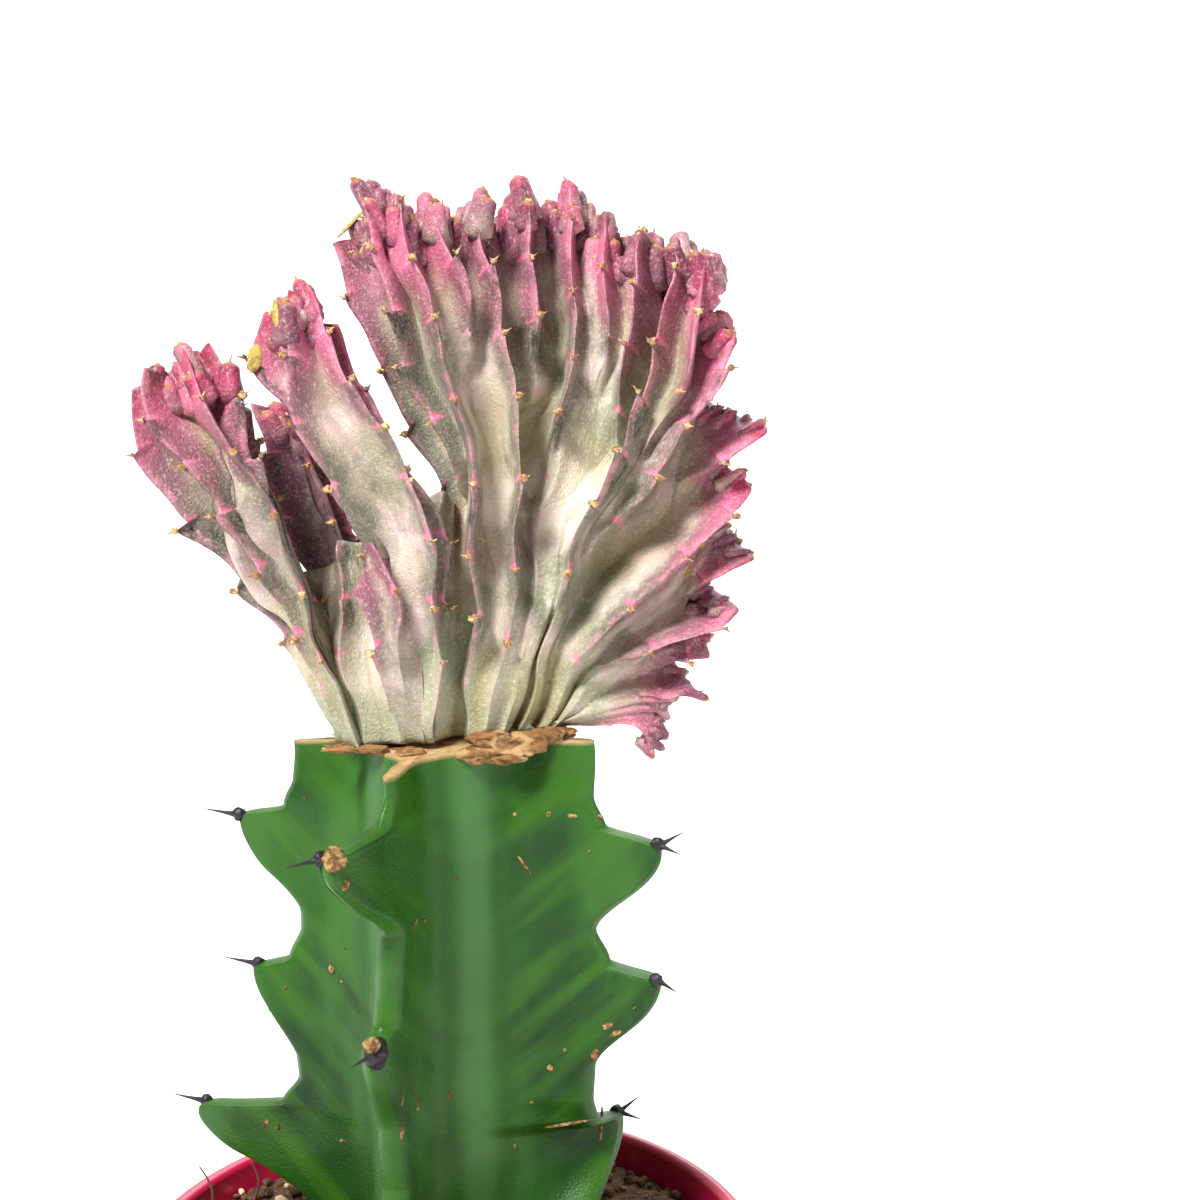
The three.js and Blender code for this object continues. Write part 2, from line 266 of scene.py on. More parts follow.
profile = [(0, 0), (pot_base_radius - 3, 0), (pot_base_radius - 1.2, 0.3), (pot_base_radius - 0.3, 1.2)]
wall_top = pot_height - 2.4 * bead
for step in range(9):
    share = step / 8
    radius = pot_base_radius + share * (rim_radius - bead - 0.4 - pot_base_radius)
    profile.append((radius, 2.4 + share * (wall_top - 2.4)))
for step in range(15):
    turn = -0.9 + (step / 14) * (math.pi + 1.1)
    profile.append((rim_radius - bead + bead * math.cos(turn), pot_height - bead + bead * math.sin(turn)))
for step in range(9):
    z = (pot_height - 3.4 * bead) * (1 - step / 8) + pot_floor * (step / 8)
    profile.append((inner_radius(z), z))
profile.append((0, pot_floor))
pot = add_piece("pink_pot", *turned(profile, 192), pot_pink, "pot_plastic", ["pot"])
drill_bits = bmesh.new()
for hole in range(drain_holes):
    turn = hole / drain_holes * 2 * math.pi
    place = Vector((drain_ring * math.cos(turn), drain_ring * math.sin(turn), pot_floor / 2)) * MM
    bmesh.ops.create_cone(
        drill_bits, cap_ends=True, segments=32, radius1=drain_radius * MM, radius2=drain_radius * MM,
        depth=3 * pot_floor * MM, matrix=Matrix.Translation(place),
    )
drill_mesh = bpy.data.meshes.new("drill_bits")
drill_bits.to_mesh(drill_mesh)
drill_bits.free()
drill = bpy.data.objects.new("drill_bits", drill_mesh)
bpy.context.collection.objects.link(drill)
cut = pot.modifiers.new("drain_holes", "BOOLEAN")
cut.operation = "DIFFERENCE"
cut.solver = "EXACT"
cut.object = drill
bored = bpy.data.meshes.new_from_object(pot.evaluated_get(bpy.context.evaluated_depsgraph_get()))
pot.modifiers.clear()
pot.data = bored
bpy.data.objects.remove(drill)

# ------------------------------------------------------------- rootstock
# The graft's green foot, one grown piece: a stem with four flat wings whose
# margins run out in teeth, cut off level at the top to take the scion.
stem_low, stem_high = (Vector(corner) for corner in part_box("rootstock"))
stem_foot = stem_low.z / MM
stem_top = stem_high.z / MM
soil_level = pot_height - 5.0
wings = {
    "left": dict(turn=160, margin=29, teeth=[(187, 41, 0), (158, 38, 0), (129, 50, 0)]),
    "front": dict(turn=250, margin=28, teeth=[(193, 42, -8), (158, 33, 0), (123, 38, 0)]),
    "right": dict(turn=340, margin=29, teeth=[(187, 41, 0), (162, 41, 0), (131, 33, 20)]),
    "back": dict(turn=70, margin=28, teeth=[(176, 40, 0), (150, 40, 0), (124, 40, 0)]),
}


def soft_step(value, low, high):
    share = np.clip((np.asarray(value, float) - low) / (high - low), 0, 1)
    return share * share * (3 - 2 * share)


def tooth_share(z, tip):
    """How much of a tooth stands out at a height: square above its tip, a long slope below."""
    shoulder = soft_step(z - tip, -0.8, 2.4)
    tail = soft_step(z - tip, 2.0, 8.0)
    below = np.clip((tip - 1.5 - z) / 16, 0, 1)
    return (1 - 0.8 * shoulder - 0.2 * tail) * (1 - below ** 2) ** 1.7


def wing_edge(wing, z):
    """Reach of a wing's margin, its lean round the stem, and the stem's valley radius at a height."""
    grown = soft_step(z, stem_foot, soil_level - 2)
    reach = 16 + (wing["margin"] - 16) * grown
    reach += 0.3 * math.sin(z * 0.35 + wing["turn"])
    lean = 2.0 * math.sin(z * 0.08 + wing["turn"])
    for tip, tooth_reach, tooth_lean in wing["teeth"]:
        share = tooth_share(z, tip)
        reach += share * (tooth_reach - wing["margin"])
        lean += share * tooth_lean
    return reach, lean, 9 + 4 * grown


def curve_between(a, b, c, d, t):
    """The smooth curve from b to c at share t, with a the point before them and d the one after."""
    square = (2 * a - 5 * b + 4 * c - d) * t ** 2
    cube = (3 * b - a - 3 * c + d) * t ** 3
    return 0.5 * (2 * b + (c - a) * t + square + cube)


def round_loop(points, between):
    """A closed smooth curve through points, with a number of steps between each two."""
    points = np.asarray(points, float)
    before, after = np.roll(points, 1, 0), np.roll(points, -1, 0)
    beyond = np.roll(points, -2, 0)
    out = [curve_between(before, points, after, beyond, step / between) for step in range(between)]
    return np.stack(out, 1).reshape(-1, points.shape[1])


def tube_faces(rows, sides):
    """Faces of a closed tube: rings of points in a row, and after them a middle point for each end."""
    faces = []
    for low in range(0, (rows - 1) * sides, sides):
        for k in range(sides):
            after = (k + 1) % sides
            faces.append((low + k, low + after, low + sides + after, low + sides + k))
    foot, head, last = rows * sides, rows * sides + 1, (rows - 1) * sides
    for k in range(sides):
        after = (k + 1) % sides
        faces.append((foot, after, k))
        faces.append((head, last + k, last + after))
    return faces


loop_steps = 6             # points from one station of the stem's outline to the next
blade_reach = (9, 15, 22, 35, 50)
blade_half = (7.6, 4.6, 2.8, 2.0, 1.6)   # half a wing's thickness at those distances from the axis
cut_level = stem_top - 1.0
cut_tilt = 0.06            # the graft's cut rises a little towards +X


def stem_loop(z):
    """One level of the stem, as (x, y, margin mark for the painted sheen, valley mark) round its four wings.
    """
    loop = []
    grown = soft_step(z, stem_foot, soil_level - 2)
    thin = 1 - 0.55 * soft_step(z, cut_level - 16, cut_level)
    for wing in wings.values():
        reach, lean, valley = wing_edge(wing, z)
        root = valley * math.sqrt(0.5)
        margin = 16 + (wing["margin"] - 16) * grown
        stations = [(root, root, 0.0, 1.0)]
        for out in (root + (margin - root) * 0.32, root + (margin - root) * 0.66, reach - 2.4):
            stations.append((out, thin * np.interp(out, blade_reach, blade_half), 0.0, 0.0))
        tip_half = stations[-1][1]
        stations.append((reach - 0.8, 0.62 * tip_half, 0.9, 0.0))
        blade = [(out, -half, rim, hollow) for out, half, rim, hollow in stations]
        blade.append((reach, 0, 1.0, 0.0))
        blade += [(out, half, rim, hollow) for out, half, rim, hollow in stations[:0:-1]]
        for out, side, rim, hollow in blade:
            bend = math.radians(wing["turn"] + lean * out / reach)
            x = out * math.cos(bend) - side * math.sin(bend)
            y = out * math.sin(bend) + side * math.cos(bend)
            loop.append((x, y, rim, hollow))
    return round_loop(loop, loop_steps)


levels = list(np.arange(stem_foot, cut_level, 0.8)) + [cut_level]
for wing in wings.values():
    for tip, _, _ in wing["teeth"]:
        levels += [tip + extra for extra in (-0.3, 0.0, 0.4, 0.9, 1.3, 1.7, 2.2)]
levels = sorted(set(round(z, 2) for z in levels if z <= cut_level))
stem_rows = []
for z in levels:
    row = stem_loop(z)
    heights = z + cut_tilt * row[:, 0] * soft_step(z, cut_level - 13, cut_level)
    stem_rows.append(np.column_stack([row[:, :2], heights, row[:, 2:]]))
stem_rows = np.array(stem_rows)
rounds = stem_rows.shape[1]
stem_points = stem_rows[..., :3].reshape(-1, 3)
margin_sheen_mark = np.clip(stem_rows[..., 3].reshape(-1), 0, 1)
hollow_mark = np.clip(stem_rows[..., 4].reshape(-1), 0, 1)


def shifted(points, size, amount, seed):
    """Points moved by smooth noise of a size, by up to an amount, both in millimetres."""
    offset = Vector((seed * 17.3, seed * 5.1, seed * 9.7))
    aside = (Vector((0, 0, 0)), Vector((31.4, 7.7, 19.2)), Vector((11.9, 43.1, 5.3)))
    moved = []
    for point in points:
        spot = Vector(point) / size + offset
        moved.append([noise.noise(spot + step) for step in aside])
    return np.asarray(points, float) + amount * np.array(moved)


stem_points = shifted(stem_points, 9.0, 0.5, 3)
stem_faces = tube_faces(len(levels), rounds)
stem_points = np.vstack([stem_points, [0, 0, stem_foot], [0, 0, cut_level]])
margin_sheen_mark = np.append(margin_sheen_mark, [0, 0])
hollow_mark = np.append(hollow_mark, [0, 0])
cut_mark = soft_step(stem_points[:, 2] - cut_level - cut_tilt * stem_points[:, 0], -0.7, -0.1)


def grain_group():
    """Fine waxy stipple of living skin: a height, and a mask of small pale dots."""
    group = bpy.data.node_groups.new("skin_grain", "ShaderNodeTree")
    for name, kind, way in (("Vector", "Vector", "INPUT"), ("Grain", "Float", "INPUT"),
                            ("Height", "Float", "OUTPUT"), ("Dots", "Float", "OUTPUT")):
        group.interface.new_socket(name, in_out=way, socket_type="NodeSocket" + kind)
    start = group.nodes.new("NodeGroupInput").outputs
    end = group.nodes.new("NodeGroupOutput").inputs
    cells = put(group, "TexVoronoi", {"Vector": start["Vector"], "Scale": start["Grain"]}).outputs["Distance"]
    rough = noise_at(start["Vector"], start["Grain"], Detail=3.0)
    group.links.new(plus(rough, times(cells, 0.6)), end["Height"])
    group.links.new(ramp(cells, 0.3, 0.05), end["Dots"])
    return group


skin_grain = grain_group()


def grain(vector, size):
    """The skin's stipple at a size, as the group's node."""
    node = vector.id_data.nodes.new("ShaderNodeGroup")
    node.node_tree = skin_grain
    vector.id_data.links.new(vector, node.inputs["Vector"])
    node.inputs["Grain"].default_value = size
    return node


stem_green, tree, shader, where = new_material(
    "rootstock_skin", Coat_Weight=0.06, Coat_Roughness=0.18, IOR=1.4, Specular_IOR_Level=0.25)
stretch = put(tree, "Mapping", {"Vector": where, "Scale": (1.0, 1.0, 0.35)}).outputs[0]
patches = noise_at(stretch, 70.0, Detail=5.0)
broad = noise_at(where, 28.0, Detail=2.0)
skin = grain(where, 2600.0)
spot = put(tree, "SeparateXYZ", {"Vector": where}).outputs
out_from_axis = put(tree, "VectorMath", {0: put(tree, "CombineXYZ", {"X": spot[0], "Y": spot[1]}).outputs[0]},
                    operation="LENGTH").outputs["Value"]
climb = minus(spot[2], times(out_from_axis, 0.9))
slant = put(tree, "CombineXYZ", {"X": climb, "Y": times(out_from_axis, 0.25)}).outputs[0]
bands = noise_at(slant, 130.0, Detail=2.0)
green = blend(ramp(broad, 0.35, 0.65), tint(10, 44, 6), tint(28, 74, 8))
green = blend(times(ramp(bands, 0.42, 0.66), 0.6), green, tint(48, 92, 10))
green = blend(ramp(patches, 0.4, 0.75), green, tint(44, 88, 26))
hollow = attribute(tree, "hollow")
beside_hollow = times(ramp(hollow, 0.0, 0.25), ramp(hollow, 0.7, 0.3))
green = blend(times(beside_hollow, 0.6), green, tint(24, 66, 6))
green = blend(times(ramp(hollow, 0.5, 1.0), 0.6), green, tint(64, 104, 56))
green = blend(times(skin.outputs["Dots"], 0.25), green, tint(72, 108, 60))
# Painted sheen: the wing margins are painted a lighter green where their rounded edges catch the light.
green = blend(times(attribute(tree, "margin"), 0.35), green, tint(50, 94, 30))
dry = attribute(tree, "cut")
fleck = noise_at(where, 500.0, Detail=6.0)
corky = blend(fleck, tint(116, 84, 48), tint(190, 160, 116))
waxy = plus(times(patches, 0.3), 0.26)
relief = plus(times(skin.outputs["Height"], 0.3), times(patches, 1.4))
finish(shader, blend(dry, green, corky), plus(waxy, times(dry, 0.4), clamp=True),
       relief, distance=0.0007, strength=0.5)
add_piece("green_rootstock", stem_points, stem_faces, stem_green, "rootstock_skin", ["rootstock"],
          marks={"margin": margin_sheen_mark, "cut": cut_mark, "hollow": hollow_mark})

# ---------------------------------------------------------------- spines
# Each tooth of the rootstock bears a small hard dark cushion with one or two
# thorns, blackish and horny, dry and slightly greyed at the surface.
thorn_black, tree, shader, where = new_material("horny_thorn", Specular_IOR_Level=0.3)
wear = noise_at(where, 700.0, Detail=6.0)
finish(shader, blend(wear, tint(8, 6, 8), tint(46, 38, 42)), plus(times(wear, 0.4), 0.3),
       wear, distance=0.0002, strength=0.5)


class Build:
    """Gathers closed forms into one piece's vertices, faces and marks; a mark not given is 0."""

    def __init__(self, *mark_names):
        self.points, self.faces = [], []
        self.marks = {name: [] for name in mark_names}

    def add(self, points, faces, **marks):
        start = sum(len(p) for p in self.points)
        points = np.asarray(points, float)
        self.points.append(points)
        self.faces += [tuple(start + int(i) for i in face) for face in faces]
        for name, gathered in self.marks.items():
            values = marks.get(name, 0.0)
            gathered.append(np.broadcast_to(values, (len(points),) + np.shape(values)[1:]))

    def piece(self, name, material, slot, replaced=()):
        marks = {key: np.concatenate(values) for key, values in self.marks.items()}
        return add_piece(name, np.concatenate(self.points), self.faces, material, slot, replaced, marks=marks)


def rod(centres, radii, sides=10, squash=1.0):
    """A closed tapering rod along centre points, with a rounded point at each end."""
    centres = np.asarray(centres, float)
    lead = np.gradient(centres, axis=0)
    lead /= np.linalg.norm(lead, axis=1)[:, None]
    side = np.cross(lead[0], (0.3, 0.5, 0.8))
    points = []
    for centre, way, radius in zip(centres, lead, radii):
        side = side - way * np.dot(side, way)
        side /= np.linalg.norm(side)
        other = np.cross(way, side)
        for k in range(sides):
            turn = 2 * math.pi * k / sides
            points.append(centre + radius * (math.cos(turn) * side + squash * math.sin(turn) * other))
    points += [centres[0] - lead[0] * radii[0] * 0.5, centres[-1] + lead[-1] * radii[-1] * 0.5]
    return np.array(points), tube_faces(len(centres), sides)


def ball(centre, radii, turn=0.0, detail=3, rough=0.0, seed=0):
    """A ball squashed along its axes and roughened, as a closed form."""
    form = bmesh.new()
    bmesh.ops.create_icosphere(form, subdivisions=detail, radius=1)
    points = np.array([tuple(v.co) for v in form.verts])
    faces = [[v.index for v in f.verts] for f in form.faces]
    form.free()
    if rough:
        points = shifted(points, 0.7, rough, seed)
    points = points * np.asarray(radii, float)
    spin = np.array(Matrix.Rotation(turn, 3, "Z"))
    return points @ spin.T + np.asarray(centre, float), faces


def thorn(base, way, length, thickness):
    """A straight thorn, stout at its base and slender above it."""
    way = np.asarray(way, float) / np.linalg.norm(way)
    share = np.linspace(0, 1, 9)
    centres = [base + way * length * s for s in share]
    return rod(centres, thickness * (0.55 * (1 - share) + 0.45 * np.exp(-7 * share)) + 0.05)


# A thorn is its length, its turn aside and its rise. A cushion's thorns are listed from the top tooth down.
straight = [(7.2, 0.0, 0.1)]
forked = [(5.0, 0.35, 0.5), (5.0, -0.5, -0.15)]
sideways = [(5.5, -0.7, -0.1)]
thorn_sets = {
    "left": [straight, straight, straight],
    "front": [sideways, forked, straight],
    "right": [forked, sideways, forked],
    "back": [straight, forked, straight],
}
swollen_cushion = ("front", 2)
for side_name, wing in wings.items():
    for number, ((tip, reach, lean), thorns) in enumerate(zip(wing["teeth"], thorn_sets[side_name]), 1):
        turn = math.radians(wing["turn"] + lean)
        outward = np.array((math.cos(turn), math.sin(turn), 0))
        swollen = 1.9 if (side_name, number) == swollen_cushion else 1.0
        seat = outward * (reach - 2.2 + 1.2 * swollen) + np.array((0, 0, tip - 0.4))
        spine = Build()
        cushion = np.array((1.3, 1.1, 1.4)) * swollen
        spine.add(*ball(seat + outward * 0.3, cushion, turn, rough=0.25, seed=number))
        for length, aside, rise in thorns:
            yaw = turn + aside
            way = (math.cos(yaw) * math.cos(rise), math.sin(yaw) * math.cos(rise), math.sin(rise))
            spine.add(*thorn(seat + outward * 0.8, way, length, 0.75))
        spine.piece(f"thorn_{side_name}_{number}", thorn_black, "spine", [f"spine_{side_name}_{number}"])

# ----------------------------------------------------------------- scabs
# Old knocks and insect bites on the rootstock healed to small tan corky specks
# and scratches, and a thorn that broke off left a round flat scar.
scab_tan, tree, shader, where = new_material("scab_cork", Specular_IOR_Level=0.2)
crumb = noise_at(where, 1100.0, Detail=6.0)
rings = noise_at(where, 420.0, Detail=2.0)
tan = blend(ramp(crumb, 0.35, 0.68), tint(76, 50, 26), tint(158, 128, 82))
tan = blend(ramp(rings, 0.56, 0.7), tan, tint(94, 66, 38))
yellow = times(attribute(tree, "ochre"), ramp(crumb, 0.6, 0.4))
finish(shader, blend(yellow, tan, tint(176, 154, 78)), plus(times(crumb, 0.2), 0.7),
       crumb, distance=0.0003, strength=0.9)
stem_skin = BVHTree.FromPolygons(stem_points.tolist(), stem_faces)


def lay_scab(into, skin, spot, seed, side=-1, ochre=0.0):
    """A thin flake where a line along Y meets a skin, its long side leaning from upright by degrees."""
    x, z, long, wide, lean = spot
    hit, normal, _, _ = skin.ray_cast(Vector((x, 90 * side, z)), Vector((0, -side, 0)))
    if hit is None:
        return
    points, faces = ball((0, 0, 0), (wide, long, 0.26), 0.0, 3, 0.35, seed)
    across = Vector((math.sin(math.radians(lean)), 0, math.cos(math.radians(lean))))
    up = (across - normal * across.dot(normal)).normalized()
    spin = np.array([tuple(up.cross(normal)), tuple(up), tuple(normal)])
    into.add(points @ spin + np.array(tuple(hit)), faces, ochre=ochre)


# Each scab is x, z, half its length, half its width, and its lean.
scabs = [
    (14.6, 182.4, 2.0, 0.3, -35), (19, 191.7, 0.5, 0.4, 0), (23, 191.6, 0.9, 0.45, 90),
    (28, 191.3, 0.7, 0.35, 80), (29.2, 152.9, 1.0, 0.55, 60), (30.8, 151.7, 1.1, 0.5, 60),
    (27, 147.5, 1.0, 0.75, 20), (19, 144.3, 0.7, 0.6, 0), (22.5, 133.5, 4.6, 0.3, 74),
    (28.9, 130, 4.4, 0.3, 5), (12.6, 128.7, 0.5, 0.3, 0), (38.2, 162.4, 2.6, 0.8, 0),
    (-34.1, 126.8, 0.9, 0.5, 30), (-31.9, 126.4, 0.7, 0.5, 0), (-19.4, 125.5, 0.5, 0.3, 90),
    (-20.7, 158.9, 0.9, 0.6, -20), (-29.7, 154.4, 0.5, 0.3, 60), (-4.7, 176, 1.2, 0.3, 60),
    (0.7, 141.9, 0.8, 0.35, 20), (-4.7, 143.2, 1.0, 0.4, 20), (-7.4, 140.5, 1.2, 0.4, 10),
    (-7.3, 146.3, 0.8, 0.35, 45), (-15.3, 188.3, 1.0, 0.7, 60), (-17.0, 192.6, 2.4, 2.0, 10),
]
specks = 50                # random specks beside the scabs listed
knocks = Build("ochre")
for number, spot in enumerate(scabs):
    lay_scab(knocks, stem_skin, spot, number)
dice = random.Random(3)
for number in range(specks):
    spot = (dice.uniform(-36, 36), dice.uniform(108, 198), dice.uniform(0.15, 0.45), dice.uniform(0.1, 0.35),
            dice.uniform(0, 180))
    lay_scab(knocks, stem_skin, spot, number + 40, dice.choice((-1, 1, 1)))
broken_thorn = np.array([-11.3, -31.0, 158.4]) + (-0.6, -2.5, 1.5)
knocks.add(*ball(broken_thorn, (1.5, 0.6, 1.4), 0.1, 3, 0.2, 9))
knocks.piece("stem_scabs", scab_tan, "callus_cork")

# ------------------------------------------------------------------ soil
# Loose peaty potting mix, filled to just below the rim and settled round the
# stem: a rough bed, with crumbs of peat, bark and a few pale grains on it.
soil_brown, tree, shader, where = new_material("peaty_soil", Specular_IOR_Level=0.25)
lumps = noise_at(where, 420.0, Detail=8.0)
fine = noise_at(where, 1500.0, Detail=6.0)
brown = blend(ramp(lumps, 0.3, 0.7), tint(42, 28, 18), tint(104, 76, 50))
brown = blend(ramp(fine, 0.55, 0.75), brown, tint(150, 118, 82))
pale = attribute(tree, "pale")
finish(shader, blend(pale, brown, tint(206, 178, 140)), plus(times(fine, 0.2), 0.78),
       plus(lumps, fine), distance=0.0008, strength=0.9)

bed_foot = pot_floor + 0.3
bed_outline = [(0, bed_foot), (inner_radius(pot_floor) - 1, bed_foot)]
bed_outline.append((inner_radius(soil_level) - 1, soil_level - 2))
bed_outline += [(r, soil_level - 0.6) for r in np.arange(54, 1, -1.2)]
bed_outline.append((0, soil_level))
bed_points, bed_faces = turned(bed_outline, 150)
bed_points = np.array(bed_points, float)
on_top = bed_points[:, 2] > soil_level - 1
for index in np.flatnonzero(on_top):
    spot = Vector(bed_points[index])
    bed_points[index, 2] += 1.0 * noise.noise(spot / 6.0) + 0.8 * noise.noise(spot / 2.2)
add_piece("soil_bed", bed_points, bed_faces, soil_brown, "soil", ["soil"],
          marks={"pale": np.zeros(len(bed_points))})

dice = random.Random(7)
crumb_count = 1400
pale_share = 0.08
crumbs = Build("pale")
for _ in range(crumb_count):
    radius = math.sqrt(dice.random()) * (inner_radius(soil_level) - 1.5)
    turn = dice.uniform(0, 2 * math.pi)
    size = dice.choice((0.5, 0.7, 0.9, 1.2, 1.7)) * dice.uniform(0.7, 1.2)
    flat = dice.uniform(0.5, 0.9)
    height = soil_level - 0.5 + dice.uniform(-0.3, 0.8) * size
    place = (radius * math.cos(turn), radius * math.sin(turn), height)
    crumbs.add(*ball(place, (size, size * dice.uniform(0.6, 1), size * flat), dice.uniform(0, 6), 1, 0.5,
                     dice.randrange(99)), pale=float(dice.random() < pale_share))
crumbs.piece("soil_crumbs", soil_brown, "soil")

# ------------------------------------------------------------- rootlets
# Dry, dark, curled fibres that stand out of the soil near the pot's wall.
fibre_brown, tree, shader, where = new_material("dry_fibre", Specular_IOR_Level=0.3)
age = noise_at(where, 900.0, Detail=4.0)
finish(shader, blend(age, tint(40, 28, 24), tint(110, 84, 66)), plus(times(age, 0.3), 0.6))


def run_through(points, share):
    """A smooth curve through points, at shares of its length from 0 to 1."""
    points = np.asarray(points, float)
    spans = len(points) - 1
    padded = np.concatenate([[2 * points[0] - points[1]], points, [2 * points[-1] - points[-2]]])
    place = np.clip(share, 0, 1) * spans
    k = np.minimum(place.astype(int), spans - 1)
    t = (place - k)[..., None]
    return curve_between(padded[k], padded[k + 1], padded[k + 2], padded[k + 3], t)


rootlets = [
    [(-46, 18, 99.0), (-46.6, 18.4, 104), (-46, 19, 108), (-47, 19.6, 111), (-48.6, 20, 113.6)],
    [(-51, 9, 99.0), (-51.6, 9, 103), (-53.6, 8, 107)],
    [(-40, 30, 99.0), (-38.4, 30.8, 104), (-40, 32.6, 108)],
]
for number, route in enumerate(rootlets, 1):
    share = np.linspace(0, 1, 24)
    fibre_form = Build()
    fibre_form.add(*rod(run_through(route, share), 0.34 - 0.2 * share, 6))
    fibre_form.piece(f"curled_fibre_{number}", fibre_brown, "rootlet", [f"dry_rootlet_{number}"])

# ---------------------------------------------------------------- callus
# Where the scion was set on the cut stem the wound healed to a rim of dry,
# layered, bark-like cork, thickest in front of the fan's foot.
cork, tree, shader, where = new_material("callus_cork", Specular_IOR_Level=0.2)
layered = put(tree, "Mapping", {"Vector": where, "Scale": (1.0, 1.0, 2.6)}).outputs[0]
bark = noise_at(layered, 330.0, Detail=9.0, Roughness=0.7)
flakes = noise_at(layered, 110.0, Detail=3.0, Distortion=1.5)
tan = blend(ramp(bark, 0.35, 0.65), tint(84, 56, 30), tint(152, 112, 68))
tan = blend(ramp(flakes, 0.5, 0.62), tan, tint(172, 140, 98))
finish(shader, blend(ramp(bark, 0.42, 0.3), tan, tint(52, 34, 20)), plus(times(bark, 0.2), 0.72),
       plus(bark, flakes), distance=0.001, strength=0.9)
callus = Build()
collar_lumps = [
    ((11, -11, 203.6), (5, 2.6, 1.9)), ((15, -10.4, 204.6), (4, 2.4, 2.2)),
    ((6, -11.6, 202.9), (3.4, 2.2, 1.5)), ((9, -10, 205.4), (4, 2.4, 1.7)),
    ((19, -8.6, 205.8), (3.4, 2.2, 1.4)), ((12, -12.4, 202.6), (3, 1.6, 1.0)),
    ((22, -6, 205.6), (2.4, 2, 1.1)), ((-16, -5, 203.4), (5, 2, 0.9)),
    ((-12, -8, 203.6), (3, 1.8, 0.8)), ((-5, -11, 203.6), (2.6, 1.4, 0.9)),
    ((-12, 6, 203.6), (7, 4, 1.2)), ((2, 9, 204.0), (9, 4, 1.3)), ((15, 7, 204.8), (6, 4, 1.2)),
    ((1, 0, 203.4), (15, 7, 1.3)),
]
for number, (centre, radii) in enumerate(collar_lumps):
    callus.add(*ball(centre, radii, 0.0, 4, 0.4, number))
callus.piece("cork_collar", cork, "callus_cork", ["graft_callus"])

# ----------------------------------------------------------------- crest
# The scion, grown as one piece: fleshy sheets pleated between sharp ribs. Each
# rib rises in long teeth, each ending in a dry scar above a pink notch, and the
# growing edge is packed with magenta finger-like tubercles.

